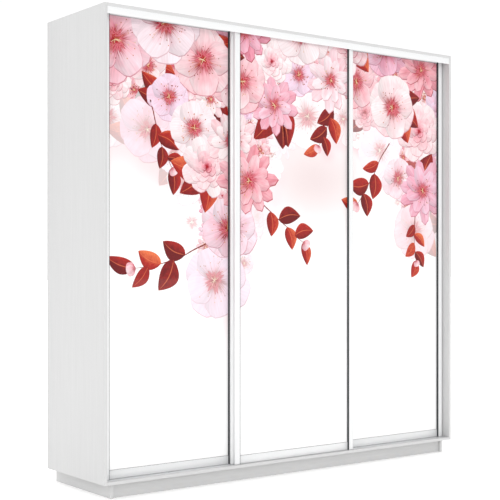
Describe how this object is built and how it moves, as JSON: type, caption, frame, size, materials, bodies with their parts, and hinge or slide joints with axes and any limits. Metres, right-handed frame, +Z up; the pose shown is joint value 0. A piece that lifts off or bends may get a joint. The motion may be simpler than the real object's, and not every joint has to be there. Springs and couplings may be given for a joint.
{
  "type": "sliding-door wardrobe",
  "caption": "Free-standing wardrobe with printed glass doors that slide on two lanes, a set-back plinth, shelves and hanging rails inside.",
  "frame": {"origin": "on the floor, under the middle of the body's width and depth", "axes": "+X to the right as seen from the front, +Y from the doors to the back, +Z up"},
  "size_m": [2.4, 0.6, 2.4],
  "materials": {
    "white_board": "white melamine",
    "hardboard": "white lacquered hardboard",
    "white_profile": "white gloss coating",
    "bare_aluminium": "anodised",
    "printed_glass": "back-printed gloss",
    "seal_rubber": "matte",
    "nylon": "moulded",
    "chrome": "polished"
  },
  "bodies": {
    "carcass": {"back_left": "hardboard", "back_middle": "hardboard", "back_right": "hardboard", "base_board": "white_board", "bottom_track": "bare_aluminium", "partition_left": "white_board", "partition_right": "white_board", "plinth_back": "white_board", "plinth_front": "white_board", "plinth_left": "white_board", "plinth_right": "white_board", "rail_cup_middle_left": "chrome", "rail_cup_middle_right": "chrome", "rail_cup_right_left": "chrome", "rail_cup_right_right": "chrome", "rail_middle": "chrome", "rail_right": "chrome", "shelf_left_1": "white_board", "shelf_left_2": "white_board", "shelf_left_3": "white_board", "shelf_left_top": "white_board", "shelf_middle_top": "white_board", "shelf_right_top": "white_board", "side_left": "white_board", "side_right": "white_board", "top_board": "white_board", "top_track_divider": "white_profile", "top_track_fascia": "white_profile", "top_track_flange": "white_profile", "top_track_web": "white_profile"},
    "door_left": {"door_left_glass": "printed_glass", "door_left_guide_left": "nylon", "door_left_guide_right": "nylon", "door_left_rail_bottom": "white_profile", "door_left_rail_top": "white_profile", "door_left_seal": "seal_rubber", "door_left_stile_left": "white_profile", "door_left_stile_right": "white_profile"},
    "door_middle": {"door_middle_glass": "printed_glass", "door_middle_guide_left": "nylon", "door_middle_guide_right": "nylon", "door_middle_rail_bottom": "white_profile", "door_middle_rail_top": "white_profile", "door_middle_seal": "seal_rubber", "door_middle_stile_left": "white_profile", "door_middle_stile_right": "white_profile"},
    "door_right": {"door_right_glass": "printed_glass", "door_right_guide_left": "nylon", "door_right_guide_right": "nylon", "door_right_rail_bottom": "white_profile", "door_right_rail_top": "white_profile", "door_right_seal": "seal_rubber", "door_right_stile_left": "white_profile", "door_right_stile_right": "white_profile"},
    "door_left_wheel_left": {"door_left_roller_left": "nylon"},
    "door_left_wheel_right": {"door_left_roller_right": "nylon"},
    "door_middle_wheel_left": {"door_middle_roller_left": "nylon"},
    "door_middle_wheel_right": {"door_middle_roller_right": "nylon"},
    "door_right_wheel_left": {"door_right_roller_left": "nylon"},
    "door_right_wheel_right": {"door_right_roller_right": "nylon"}
  },
  "joints": [
    {"name": "door_left_slide", "type": "slide", "parent": "carcass", "child": "door_left", "axis": [1, 0, 0], "range_m": [0, 0.38]},
    {"name": "door_middle_slide", "type": "slide", "parent": "carcass", "child": "door_middle", "axis": [1, 0, 0], "range_m": [-0.762, 0.762]},
    {"name": "door_right_slide", "type": "slide", "parent": "carcass", "child": "door_right", "axis": [1, 0, 0], "range_m": [-0.38, 0]},
    {"name": "door_left_wheel_left_spin", "type": "hinge", "parent": "door_left", "child": "door_left_wheel_left", "pos_m": [-1.0996, -0.2259, 0.0989], "axis": [0, 1, 0], "range_deg": [0, 1556]},
    {"name": "door_left_wheel_right_spin", "type": "hinge", "parent": "door_left", "child": "door_left_wheel_right", "pos_m": [-0.4656, -0.2259, 0.0989], "axis": [0, 1, 0], "range_deg": [0, 1556]},
    {"name": "door_middle_wheel_left_spin", "type": "hinge", "parent": "door_middle", "child": "door_middle_wheel_left", "pos_m": [-0.337, -0.2659, 0.0989], "axis": [0, 1, 0], "range_deg": [-3119, 3119]},
    {"name": "door_middle_wheel_right_spin", "type": "hinge", "parent": "door_middle", "child": "door_middle_wheel_right", "pos_m": [0.337, -0.2659, 0.0989], "axis": [0, 1, 0], "range_deg": [-3119, 3119]},
    {"name": "door_right_wheel_left_spin", "type": "hinge", "parent": "door_right", "child": "door_right_wheel_left", "pos_m": [0.4656, -0.2259, 0.0989], "axis": [0, 1, 0], "range_deg": [-1556, 0]},
    {"name": "door_right_wheel_right_spin", "type": "hinge", "parent": "door_right", "child": "door_right_wheel_right", "pos_m": [1.0996, -0.2259, 0.0989], "axis": [0, 1, 0], "range_deg": [-1556, 0]}
  ],
  "couplings": [
    {"joint": "door_left_wheel_left_spin", "follows": "door_left_slide", "rad_per_m": 71.429},
    {"joint": "door_left_wheel_right_spin", "follows": "door_left_slide", "rad_per_m": 71.429},
    {"joint": "door_middle_wheel_left_spin", "follows": "door_middle_slide", "rad_per_m": 71.429},
    {"joint": "door_middle_wheel_right_spin", "follows": "door_middle_slide", "rad_per_m": 71.429},
    {"joint": "door_right_wheel_left_spin", "follows": "door_right_slide", "rad_per_m": 71.429},
    {"joint": "door_right_wheel_right_spin", "follows": "door_right_slide", "rad_per_m": 71.429}
  ]
}
